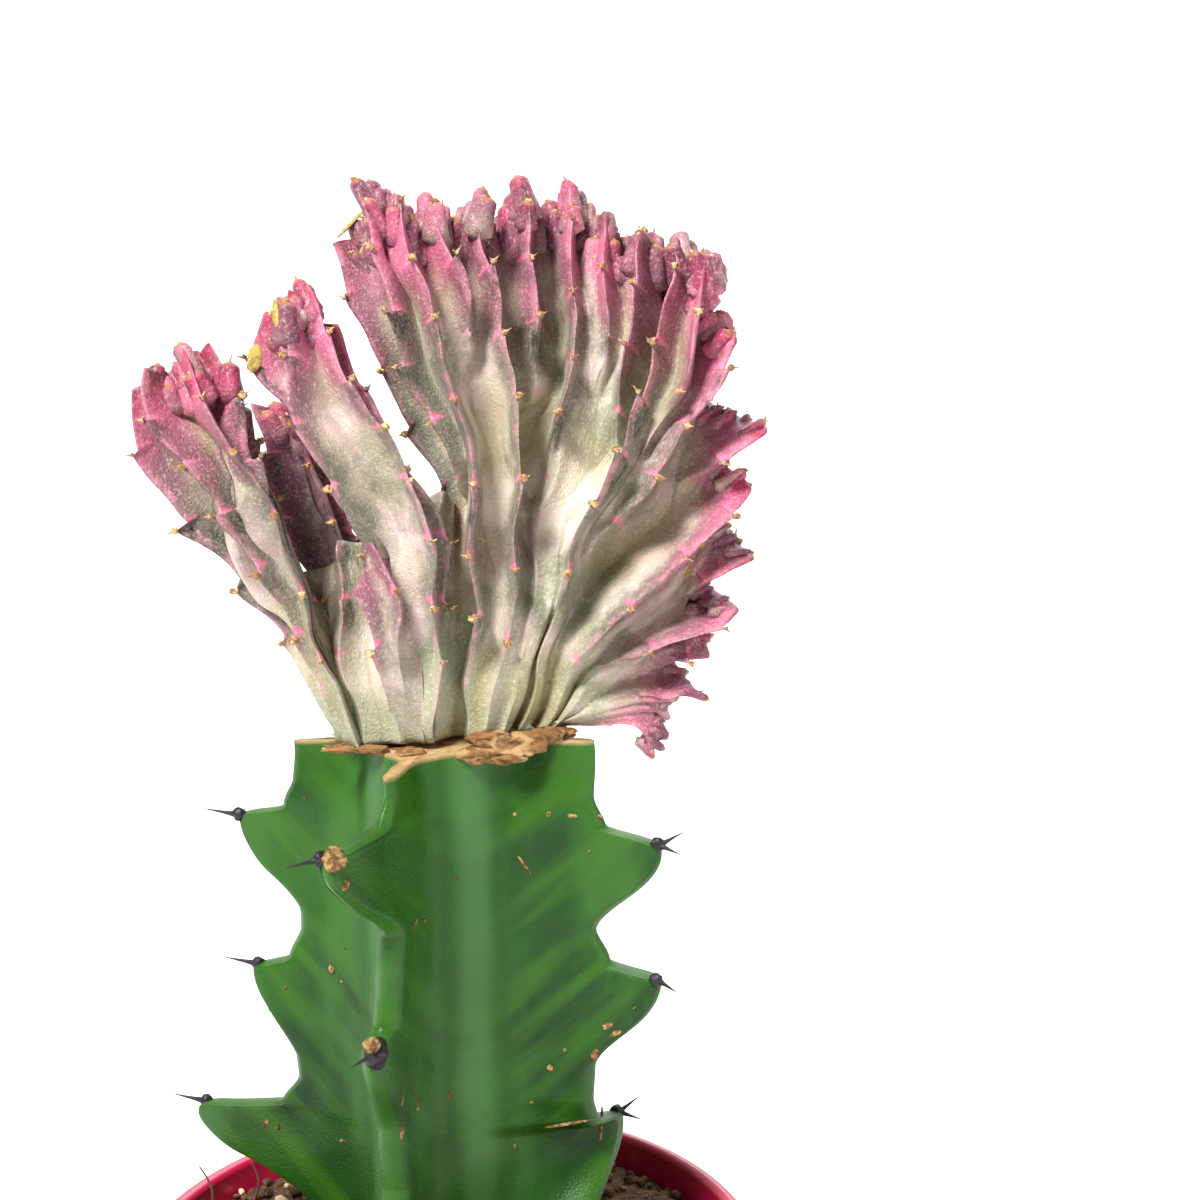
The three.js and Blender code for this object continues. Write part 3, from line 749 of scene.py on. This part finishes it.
# A rib is its points from foot to tip, and the share of its length where it
# leaves its neighbour as a ridge of its own.
lobes = {
    "left": [
        ([(-18, -2, 205), (-31, -3, 226), (-46, -4, 244), (-52, -5, 255), (-52, -5, 267)], 0.0),
        ([(-17, -6, 205), (-27, -10, 232), (-38, -12, 248), (-46, -12, 260), (-48, -9, 270)], 0.0),
        ([(-15, -8, 205), (-22, -11, 230), (-28, -14, 248), (-35, -14, 260), (-42, -10, 273)], 0.0),
        ([(-13, -6, 205), (-18, -8, 223), (-25, -10, 241), (-30, -10, 255), (-38, -6, 273)], 0.45),
        ([(-12, -2, 205), (-16, -1, 220), (-24, 0, 236), (-29, 1, 249), (-34, 1, 267)], 0.0),
    ],
    "behind": [
        ([(-12, 6, 205), (-23, 8, 228), (-29, 8, 246), (-33, 7, 264)], 0.0),
        ([(-9, 3, 205), (-16, 3, 229), (-20, 3, 247), (-25, 4, 263)], 0.0),
        ([(-7, 6, 205), (-12, 7, 224), (-16, 7, 242), (-20, 6, 259)], 0.0),
    ],
    "middle": [
        ([(-3, -4, 205), (-14, -6, 237), (-23, -8, 256), (-32, -8, 270), (-29, -7, 280)], 0.0),
        ([(-2, -9, 205), (-10, -14, 236), (-18, -17, 253), (-24, -17, 267), (-24, -12, 282)], 0.2),
        ([(0, -9, 205), (0, -16, 236), (-5, -18, 252), (-14, -18, 268), (-20, -11, 283)], 0.0),
        ([(2, -5, 205), (3, -10, 230), (0, -11, 247), (-9, -10, 263), (-16, -9, 278)], 0.1),
    ],
    "heart": [
        ([(-20, -1, 205), (-23, -1, 220), (-26, 1, 234)], 0.0),
        ([(-14, -6, 205), (-16, -6, 221), (-18, -3, 240)], 0.0),
        ([(-8, -8, 205), (-9, -8, 222), (-10, -5, 244)], 0.0),
        ([(-1, -9, 205), (-1, -9, 224), (0, -5, 248)], 0.0),
        ([(6, -7, 205), (8, -7, 224), (10, -3, 246)], 0.0),
    ],
    "fin": [
        ([(-9, -6, 205), (-10, -12, 217), (-11, -15, 226), (-15, -15, 233)], 0.0),
        ([(-6, -9, 205), (-6, -14, 219), (-7, -16, 232), (-12, -15, 241)], 0.3),
        ([(-3, -10, 205), (-2, -12, 220), (-3, -12, 231), (-7, -11, 239)], 0.0),
    ],
    "fan": [
        ([(2, 2, 205), (1, 4, 228), (-2, 4, 250), (-12, 4, 270), (-19, 3, 292)], 0.0),
        ([(3, -4, 205), (3, -7, 235), (0, -9, 258), (-7, -10, 280), (-13, -6, 299)], 0.3),
        ([(5, -7, 205), (6, -11, 236), (5, -12, 258), (0, -12, 278), (-6, -4, 298)], 0.0),
        ([(6, -8, 205), (10, -11, 236), (11, -10, 258), (6, -7, 280), (1, -2, 298)], 0.6),
        ([(8, -8, 205), (13, -11, 236), (14, -9, 261), (11, -3, 283), (9, 2, 299)], 0.0),
        ([(9, -8, 205), (14, -11, 234), (17, -8, 254), (18, -1, 278), (16, 6, 302)], 0.55),
        ([(11, -8, 205), (16, -11, 234), (20, -8, 254), (24, -2, 278), (23, 7, 302)], 0.4),
        ([(12, -8, 205), (17, -11, 232), (23, -9, 253), (30, -3, 277), (30, 5, 298)], 0.6),
        ([(13, -8, 205), (18, -12, 230), (27, -12, 253), (34, -7, 273), (37, 1, 295)], 0.5),
        ([(14, -8, 205), (20, -13, 230), (30, -15, 252), (38, -13, 271), (42, -5, 292)], 0.1),
        ([(15, -8, 205), (21, -13, 228), (33, -16, 250), (43, -17, 271), (45, -12, 288)], 0.55),
        ([(16, -8, 205), (22, -13, 226), (36, -15, 249), (47, -17, 266), (52, -13, 275)], 0.3),
        ([(17, -8, 205), (24, -13, 223), (39, -15, 245), (50, -15, 255), (57, -11, 260)], 0.55),
        ([(18, -8, 205), (25, -13, 221), (41, -15, 237), (50, -14, 246), (54, -10, 250)], 0.1),
        ([(19, -8, 205), (26, -13, 219), (42, -15, 230), (50, -14, 236), (55, -10, 238)], 0.5),
        ([(19, -8, 205), (27, -13, 217), (41, -15, 224), (49, -14, 227), (53, -10, 229)], 0.2),
        ([(20, -8, 205), (28, -12, 214), (38, -14, 218), (45, -13, 220), (49, -10, 220)], 0.45),
        ([(21, -7, 205), (28, -11, 211), (37, -12, 212), (42, -12, 213), (45, -9, 213)], 0.35),
        ([(21, -5, 205), (28, -7, 207), (34, -8, 207), (37, -8, 205), (39, -7, 202)], 0.0),
    ],
}
blush = {"fin": 0.45, "heart": 0.0, "behind": 0.8}       # how magenta a lobe's growing edge is
# On the lobe set behind the others this darkening is painted shade.
dusk = {"fin": 0.25, "behind": 0.9, "left": 0.1}         # how dark and purple a lobe is all over
fold_depth = 1.35          # depth of a valley, as a share of half the distance between its ribs
deepest = 7.5              # most that a valley goes back
tooth_pitch = 12.5         # distance between teeth along a rib
tooth_height = 2.8
ridge_width = 1.2
folds = {"fan": {8: 1.9, 11: 1.9, 14: 2.2, 16: 2.0}}     # much deeper valleys, by number
usual_rows = 72            # points from a lobe's foot to its edge
lobe_rows = {"fan": 100, "fin": 44, "heart": 36}
back_notch = 0.35          # how much of a notch's pink shows on a lobe's back
flute_pitch = 4.4          # width of the small flutes below the growing edge
across_steps = [0, 0.035, 0.08, 0.14, 0.22, 0.31, 0.4, 0.5, 0.6, 0.69, 0.78, 0.86, 0.92, 0.965]


def unit(vectors):
    return vectors / np.maximum(np.linalg.norm(vectors, axis=-1, keepdims=True), 1e-9)


def softened(grid, times):
    """A grid of values averaged with its neighbours, edges kept."""
    for _ in range(times):
        padded = np.pad(grid, ((1, 1), (1, 1)) + ((0, 0),) * (grid.ndim - 2), mode="edge")
        grid = (padded[:-2, 1:-1] + padded[2:, 1:-1] + padded[1:-1, :-2] + padded[1:-1, 2:] + 4 * grid) / 8
    return grid


def grow_lobe(ribs, rows, seed, edge_blush, dusky, deeper_valleys):
    """One pleated sheet: its surface points and marks, and the places of its teeth and growing edge."""
    count = len(ribs)
    steps = len(across_steps)
    place = np.array([k + s for k in range(count - 1) for s in across_steps] + [count - 1])
    along = np.linspace(0, 1, rows)
    between = np.sin(math.pi * place) ** 2
    reach = along[:, None] * (1 - 0.03 * between[None, :])
    lines = np.array([run_through(points, reach) for points, _ in ribs])
    lines = np.concatenate([[2 * lines[0] - lines[1]], lines, [2 * lines[-1] - lines[-2]]])
    k = np.minimum(place.astype(int), count - 2)
    t = (place - k)[None, :, None]
    column = np.arange(len(place))
    a, b, c, d = (lines[k + n, :, column].transpose(1, 0, 2) for n in range(4))
    sheet = curve_between(a, b, c, d, t)

    flat_shape = sheet.shape
    sheet = shifted(shifted(sheet.reshape(-1, 3), 14.0, 2.1, seed), 6.0, 0.5, seed + 9).reshape(flat_shape)
    near_graft = soft_step(along, 0.12, 0)[:, None]
    graft_height = cut_level + 1.2 + cut_tilt * sheet[..., 0]
    sheet[..., 2] += near_graft * np.minimum(graft_height - sheet[0, :, 2], 0)
    side_way = unit(np.gradient(sheet, axis=1))
    rise_way = unit(np.gradient(sheet, axis=0))
    outward = unit(softened(unit(np.cross(side_way, rise_way)), 6))
    outward = unit(outward + np.array((0, -0.8, 0)))
    across = np.zeros(sheet.shape[:2])
    across[:, 1:] = np.cumsum(np.linalg.norm(np.diff(sheet, axis=1), axis=2), axis=1)
    length = np.zeros(sheet.shape[:2])
    length[1:] = np.cumsum(np.linalg.norm(np.diff(sheet, axis=0), axis=2), axis=0)

    active = np.array([soft_step(along, start, start + 0.2) if start else np.ones(rows) for _, start in ribs])
    gap = np.array([across[:, (n + 1) * steps] - across[:, n * steps] for n in range(count - 1)])
    right = np.zeros((count, rows))
    left = np.zeros((count, rows))
    for n in range(count - 2, -1, -1):
        right[n] = gap[n] + (1 - active[n + 1]) * right[n + 1]
    for n in range(1, count):
        left[n] = gap[n - 1] + (1 - active[n - 1]) * left[n - 1]

    closeness = np.full(sheet.shape[:2], -1.0)
    half_gap = np.zeros(sheet.shape[:2])
    ridge = np.zeros(sheet.shape[:2])
    tooth = np.zeros(sheet.shape[:2])
    notch = np.zeros(sheet.shape[:2])
    push = np.zeros(sheet.shape)
    beside = np.zeros(sheet.shape[:2])
    flank = np.zeros(sheet.shape[:2])
    dice = random.Random(seed)
    scars = []
    for n in range(count):
        rib_column = n * steps
        offset = across - across[:, rib_column][:, None]
        half = 0.5 * np.where(offset >= 0, right[n][:, None], left[n][:, None])
        half = np.maximum(half, 0.3)
        near = active[n][:, None] * (1 - np.minimum(np.abs(offset) / half, 1))
        wins = near >= closeness
        closeness = np.where(wins, near, closeness)
        half_gap = np.where(wins, half, half_gap)
        beside = np.where(wins, offset + 40.0 * n, beside)
        run = length[:, rib_column]
        total = run[-1]
        phase = dice.uniform(0, 0.8)
        pitch = tooth_pitch * dice.uniform(0.8, 1.15)
        stage = (total - run) / pitch + phase * 0.5 + 0.12 * np.sin(run / 9 + 5 * phase)
        rise = 1 - (stage % 1)
        strength = np.exp(-(offset / ridge_width) ** 2) * active[n][:, None]
        strength *= soft_step(run, 8, 22)[:, None]
        each = np.array([noise.noise(Vector((whole * 3.7, n * 2.3, seed))) for whole in np.floor(stage)])
        saw = rise ** 1.6 * np.clip(0.8 + 1.1 * each, 0.3, 1.3)
        darkness = np.clip(0.42 + 1.7 * each, 0, 1)
        bump = tooth_height * saw * (0.75 + 0.25 * soft_step(total - run, 0, 30))
        sideways = -side_way if n == 0 else side_way
        push_way = unit(sideways + 0.3 * outward) if n in (0, count - 1) else outward
        push += (strength * bump[:, None])[..., None] * (push_way + 0.35 * rise_way)
        wide = np.exp(-(offset / 2.6) ** 2) * active[n][:, None]
        stronger = wide > ridge
        # Painted shade beside each rib, wider on its lower, right side.
        shade = np.exp(-(offset / np.where(offset > 0, 4.4, 2.4)) ** 2) * active[n][:, None]
        shade *= (0.2 + 0.8 * soft_step(run, 6, 30))[:, None]
        flank = np.maximum(flank, shade)
        ridge = np.where(stronger, wide, ridge)
        dark = active[n] * darkness * soft_step(rise, 0.1, 0.75)
        streak = np.exp(-((offset - 0.5) / 1.7) ** 2) * dark[:, None]
        tooth = np.maximum(tooth, streak)
        pink = np.exp(-((rise * pitch - 0.4) / 1.1) ** 2)
        notch = np.maximum(notch, strength ** 0.5 * pink[:, None])
        for row in np.flatnonzero(np.diff(np.floor(stage)) < 0):
            if run[row] > 12 and active[n][row] > 0.7:
                scars.append((row, rib_column))
    closeness = np.clip(closeness, 0, 1)
    uneven = np.array([dice.uniform(0.6, 1.5) for _ in range(count)])
    for valley, deeper in deeper_valleys.items():
        uneven[valley] = deeper
    depth = np.minimum(fold_depth * half_gap, deepest) * np.interp(place, np.arange(count) + 0.5, uneven)
    depth = softened(depth * (0.35 + 0.65 * soft_step(length, 2, 45)), 3)
    wall = 2.6 + 0.6 * depth
    front = depth * (1 - closeness ** 1.7)
    back = wall + depth * (1 - closeness) ** 2.2
    from_edge = length[-1:] - length
    edge_run = across[-1]
    flute = np.cos(2 * math.pi * edge_run / flute_pitch + 1.3 * np.sin(edge_run / 5 + seed))[None, :]
    fluted = soft_step(from_edge, 24, 2) * (1 - 0.6 * ridge)
    front = front - fluted * flute * 0.9
    margin = np.minimum(across, across[:, -1:] - across)
    thin = 0.22 + 0.78 * soft_step(margin, 0, 6)
    thin = thin * np.sqrt(np.clip(1 - soft_step(along, 0.9, 1.03) ** 2, 0.04, 1))[:, None]
    middle = 0.5 * (front + back)
    spread = 0.5 * (back - front) * thin
    front_sheet = sheet - outward * (middle - spread)[..., None] + push
    back_sheet = sheet - outward * (middle + spread)[..., None]
    edge_push = np.exp(-(margin / ridge_width) ** 2)[..., None]
    back_sheet += push * edge_push
    marks = {
        "ridge": ridge, "tooth": tooth, "notch": notch, "edge": edge_blush * np.exp(-from_edge / 16.0),
        "dusk": np.full_like(across, dusky), "flank": flank, "flute": fluted * (0.5 - 0.5 * flute),
        "foot": np.exp(-length / 16.0), "valley": 1 - closeness,
        "flow": np.stack([beside, length, np.full_like(across, seed * 50.0)], -1),
    }
    return dict(sheet=sheet, front=front_sheet, back=back_sheet, outward=outward, rise=rise_way, marks=marks,
                scars=scars, across=across)


def closed_sheet(lobe):
    """Vertices, faces and marks of a lobe's front and back, joined all round."""
    rows, columns = lobe["front"].shape[:2]
    points = np.concatenate([lobe["front"].reshape(-1, 3), lobe["back"].reshape(-1, 3)])
    above_cut = cut_level + 0.3 + cut_tilt * points[:, 0]
    on_stem = np.hypot(points[:, 0], points[:, 1]) < 25
    points[:, 2] = np.where(on_stem, np.maximum(points[:, 2], above_cut), points[:, 2])
    half = rows * columns
    faces = []
    index = np.arange(half).reshape(rows, columns)
    quads = np.stack([index[:-1, :-1], index[:-1, 1:], index[1:, 1:], index[1:, :-1]], -1).reshape(-1, 4)
    faces += quads.tolist()
    faces += (quads[:, ::-1] + half).tolist()
    ring = list(index[0, :]) + list(index[1:, -1]) + list(index[-1, -2::-1]) + list(index[-2:0:-1, 0])
    for here, after in zip(ring, ring[1:] + ring[:1]):
        faces.append((after, here, here + half, after + half))
    marks = {}
    for name, values in lobe["marks"].items():
        flat = values.reshape((half,) + values.shape[2:])
        marks[name] = np.concatenate([flat, flat * (back_notch if name == "notch" else 1.0)])
    return points, faces, marks


mark_names = ("ridge", "tooth", "notch", "edge", "foot", "valley", "tip", "dusk", "flank", "flute")
crest = Build(*mark_names, "flow")
scar_seats = []
grown = {}
for number, (lobe_name, ribs) in enumerate(lobes.items(), 1):
    lobe = grow_lobe(ribs, lobe_rows.get(lobe_name, usual_rows), number, blush.get(lobe_name, 1.0),
                     dusk.get(lobe_name, 0.0), folds.get(lobe_name, {}))
    grown[lobe_name] = lobe
    points, faces, marks = closed_sheet(lobe)
    crest.add(points, faces, **marks)
    if lobe_name != "heart":
        for place in lobe["scars"]:
            scar_seats.append((lobe["front"][place], lobe["outward"][place], lobe["rise"][place]))

# The tubercles of the growing edge, in rows through the sheet's thickness.
dice = random.Random(21)
edge_pitch = {"left": 3.4, "behind": 3.4, "middle": 3.4, "fan": 3.3}
finger_shape = [(0, 1.3), (0.3, 1.15), (0.55, 1.0), (0.75, 0.95), (0.88, 0.9), (0.96, 0.68), (1, 0.36)]
finger_sides = 8
finger_root = 3.0          # how far a finger goes down into its lobe
finger_lanes = [(0.05, 0.5, -6), (0.35, 0.2, -3), (0.65, -0.1, -2), (0.95, -0.45, -3)]  # depth, tilt and row
share_up, finger_swell = (np.array(column) for column in zip(*finger_shape))
tall = np.append(np.repeat(share_up, finger_sides), [0, 1])
tip_seats = []
for lobe_name, pitch in edge_pitch.items():
    lobe = grown[lobe_name]
    run = lobe["across"][-1]
    for lane, (depth_share, tilt, row) in enumerate(finger_lanes):
        position = pitch * (0.3 + 0.27 * lane)
        while position < run[-1] - 0.8:
            column = int(np.searchsorted(run, position))
            crowded = lobe_name == "fan" and position > 0.62 * run[-1]
            front, back = lobe["front"][row, column], lobe["back"][row, column]
            way = lobe["rise"][-2, column] + lobe["outward"][-2, column] * tilt
            way = unit(way + np.array([dice.uniform(-0.16, 0.16) for _ in range(3)]))
            length = dice.uniform(0.8, 2.0) if crowded else dice.uniform(1.2, 4.4)
            thick = dice.uniform(1.0, 1.5) if crowded else dice.uniform(1.5, 2.3)
            seat = front + (back - front) * depth_share - way * finger_root
            curl = np.array([dice.uniform(-0.7, 0.7) for _ in range(3)])
            middle = seat + way * (length + finger_root) * share_up[:, None] + curl * share_up[:, None] ** 2
            points, faces = rod(middle, finger_swell * thick, finger_sides, dice.uniform(0.55, 0.85))
            crest.add(points, faces, tip=soft_step(tall, 0.9, 1.0), flow=points,
                      edge=0.6 + 0.4 * tall + dice.uniform(-0.25, 0.25), flank=dice.uniform(0, 0.6),
                      flute=dice.uniform(0, 0.9), dusk=dice.choice((0.0, 0.2, 0.5)))
            tip_seats.append((middle[-1], way))
            position += pitch * (0.72 if crowded else 1.0) * dice.uniform(0.85, 1.25)

# A fleshy core closes the lobes' feet over the graft.
core_points, core_faces = ball((1, 3, 204), (17, 6.5, 6), 0.0, 4, 0.12, 5)
crest.add(core_points, core_faces, foot=1.0, flow=core_points)

crest_skin, tree, shader, where = new_material(
    "crest_skin", IOR=1.42, Coat_Weight=0.15, Coat_Roughness=0.3, Specular_IOR_Level=0.35)
flow = attribute(tree, "flow", "Vector")
mark = {name: attribute(tree, name) for name in mark_names}
cloud = noise_at(where, 90.0, Detail=4.0)
streak_space = put(tree, "Mapping", {"Vector": flow, "Scale": (1.5, 0.28, 1.0)}).outputs[0]
streaks = noise_at(streak_space, 1.3, Detail=5.0, Roughness=0.65)
skin = grain(where, 2400.0)
speck = noise_at(where, 1700.0, Detail=4.0, Roughness=0.7)
body = blend(ramp(cloud, 0.35, 0.65), tint(166, 152, 134), tint(196, 170, 166))
silver = noise_at(where, 55.0, Detail=3.0, Roughness=0.6)
body = blend(ramp(silver, 0.4, 0.62), body, tint(138, 138, 112))
# Painted highlight: broad pale cream patches where light falls brightest on the crest.
glow_painted_highlight = noise_at(where, 34.0, Detail=1.0)
body = blend(times(ramp(glow_painted_highlight, 0.48, 0.7), 0.75), body, tint(206, 194, 172))
blotch = noise_at(where, 150.0, Detail=7.0, Roughness=0.7)
body = blend(times(ramp(blotch, 0.5, 0.68), 0.5), body, tint(84, 92, 70))
body = blend(times(ramp(blotch, 0.48, 0.32), 0.5), body, tint(214, 202, 190))
body = blend(times(ramp(mark["foot"], 0.1, 0.9), 0.7), body, tint(136, 146, 112))
# Olive in the valleys: partly the valleys' own olive tone, partly painted shade darkening their deepest
# parts.
olive_and_valley_shade = ramp(noise_at(where, 42.0, Detail=1.0), 0.45, 0.6)
body = blend(times(olive_and_valley_shade, times(mark["valley"], 0.75)), body, tint(138, 128, 74))
mottle = noise_at(where, 230.0, Detail=5.0, Roughness=0.65)
# Painted shade along the ribs' flanks, heavier below each rib and towards the growing edge, mottled; on the
# fingers a random amount.
flank = plus(mark["flank"], times(minus(mottle, 0.5), 1.1))
flank = plus(flank, times(mark["edge"], 0.35))
flank_tint = blend(ramp(mark["edge"], 0.08, 0.4), tint(82, 88, 70), tint(100, 56, 76))
body = blend(times(ramp(flank, 0.25, 1.05), 0.85), body, flank_tint)
rosy = plus(times(mark["edge"], 1.5), times(streaks, 0.5))
rosy = plus(rosy, times(minus(mottle, 0.5), 0.7))
rosy = plus(rosy, times(mark["ridge"], 0.3))
rose = blend(ramp(silver, 0.38, 0.6), tint(134, 78, 92), tint(186, 92, 122))
deep_rose = blend(ramp(silver, 0.4, 0.62), tint(116, 30, 58), tint(174, 34, 80))
body = blend(times(ramp(rosy, 0.6, 1.4), 0.85), body, rose)
body = blend(ramp(rosy, 1.25, 2.1), body, deep_rose)
# Painted shade: maroon in the troughs of the flutes below the growing edge; on the fingers a random maroon
# tone of their own.
maroon_flute_shade = times(ramp(mark["flute"], 0.3, 1.0), ramp(mottle, 0.25, 0.6))
body = blend(times(maroon_flute_shade, 0.85), body, tint(92, 34, 56))
# Dusky purple over a whole lobe: painted shade on the lobe set behind the others, the lobe's own dusky tone
# on the fin, the left lobe and some fingers.
body = blend(times(mark["dusk"], ramp(mottle, 0.1, 0.7)), body, tint(98, 54, 70))
dark_line = times(ramp(mark["tooth"], 0.15, 0.75), ramp(streaks, 0.36, 0.56))
dark_line = times(dark_line, ramp(mark["foot"], 0.6, 0.15))
body = blend(times(dark_line, 0.88), body, tint(44, 50, 38))
# Painted highlight: a light pink line along each ridge's crest, mottled, fading towards the foot.
ridge_highlight = times(ramp(mark["ridge"], 0.85, 0.99), ramp(mottle, 0.4, 0.65))
ridge_highlight = times(ridge_highlight, ramp(mark["foot"], 0.9, 0.3))
body = blend(times(ridge_highlight, 0.55), body, tint(206, 138, 152))
body = blend(times(ramp(mark["notch"], 0.2, 0.8), 0.85), body, tint(214, 110, 140))
body = blend(times(ramp(speck, 0.5, 0.72), 0.4), body, tint(224, 208, 200))
body = blend(mark["tip"], body, tint(150, 104, 76))
relief = plus(times(skin.outputs["Height"], 0.4), times(streaks, 0.8))
relief = plus(relief, blotch)
finish(shader, body, plus(times(speck, 0.25), 0.36), relief, distance=0.0007, strength=0.55)
crest.piece("coral_crest", crest_skin, "crest_skin", ["crest"])

# Dry tan scars on the teeth and finger tips, with a pair of tiny thorns each.
scars = Build()
dice = random.Random(5)
for number, (seat, outward, rise) in enumerate(scar_seats):
    size = dice.uniform(0.45, 0.95)
    spot = seat + rise * 0.2
    scars.add(*ball(spot, (size, size * 0.8, size * 0.75), dice.uniform(0, 6), 2, 0.55, number))
    for side in (-1, 1):
        way = unit(outward + 0.5 * rise + side * np.cross(outward, rise) * 0.9)
        scars.add(*rod([spot, spot + way * 0.7, spot + way * 1.4], (0.22, 0.15, 0.05), 5))
for number, (seat, way) in enumerate(tip_seats):
    size = dice.uniform(0.35, 0.75)
    scars.add(*ball(seat, (size, size * 0.9, size * 0.8), dice.uniform(0, 6), 2, 0.55, number + 300))
    if number % 3 == 0:
        side = unit(np.array([dice.uniform(-1, 1) for _ in range(3)]) + way)
        scars.add(*rod([seat, seat + side * 0.8, seat + side * 1.5], (0.2, 0.14, 0.05), 5))
crest_form = BVHTree.FromPolygons(np.concatenate(crest.points).tolist(), crest.faces)
patches_on_crest = [(-14.2, 296, 4.4, 1.4, -8), (-12.6, 290, 1.6, 0.9, 30), (-30.5, 272, 2.6, 1.3, 12),
                    (-26, 279, 2.2, 0.8, -5), (47, 240, 1.6, 2.2, 10), (44, 234.5, 1.0, 1.4, 40)]
dried = Build("ochre")
for number, spot in enumerate(patches_on_crest):
    lay_scab(dried, crest_form, spot, number + 9, ochre=1.0)
dried.piece("crest_patches", scab_tan, "callus_cork")
scar_cork, tree, shader, where = new_material("scar_cork", Specular_IOR_Level=0.2)
crumb = noise_at(where, 1200.0, Detail=6.0)
patch = noise_at(where, 120.0)
dry = blend(ramp(crumb, 0.35, 0.7), tint(120, 84, 50), tint(216, 182, 134))
finish(shader, blend(ramp(patch, 0.5, 0.7), dry, tint(128, 92, 60)), plus(times(crumb, 0.2), 0.7),
       crumb, distance=0.0003, strength=0.8)
scars.piece("crest_scars", scar_cork, "callus_cork")
